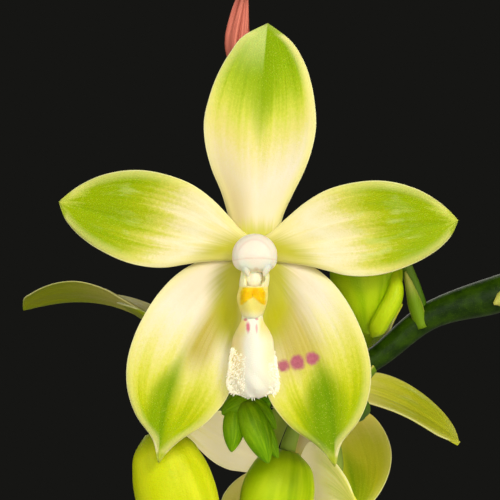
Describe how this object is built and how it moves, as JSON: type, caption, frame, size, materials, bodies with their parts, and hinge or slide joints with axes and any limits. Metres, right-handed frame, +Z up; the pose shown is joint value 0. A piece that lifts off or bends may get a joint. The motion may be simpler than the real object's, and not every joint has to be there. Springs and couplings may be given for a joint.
{
  "type": "moth orchid in vase",
  "caption": "Cut arching spray of star-shaped green and cream moth orchids with buds, standing in water in a plain glazed bottle vase.",
  "frame": {"origin": "centre of the vase's flat foot, on the surface it stands on", "axes": "+Z up along the vase's axis; the front bloom faces -Y and the stem arches over towards -X"},
  "size_m": [0.1694, 0.1125, 0.2726],
  "materials": {
    "vase_glaze": "plain off-white glaze, satin",
    "water": "clear still water",
    "stem_green": "smooth waxy plant stem, satin",
    "tepal": "fleshy waxy petal, cream shading to green, satin",
    "column": "smooth ivory flower tissue, satin",
    "lip": "cream flower tissue with fine hairs, matte",
    "bud": "smooth waxy bud, satin",
    "withered": "dry wrinkled flower tissue, matte"
  },
  "bodies": {
    "root": {"vase": "vase_glaze", "water": "water", "flower_stem": "stem_green", "bloom_front_tepals": "tepal", "bloom_front_column": "column", "bloom_front_lip": "lip", "bloom_lower_right_tepals": "tepal", "bloom_lower_right_column": "column", "bloom_lower_right_lip": "lip", "bloom_lower_tepals": "tepal", "bloom_lower_column": "column", "bloom_lower_lip": "lip", "bloom_left_tepals": "tepal", "bloom_left_column": "column", "bloom_left_lip": "lip", "bloom_arch_tepals": "tepal", "bloom_arch_column": "column", "bloom_arch_lip": "lip", "bud_right": "bud", "bud_lower_left": "bud", "bud_lower_middle": "bud", "tip_buds": "bud", "spent_bloom": "withered"}
  },
  "joints": []
}
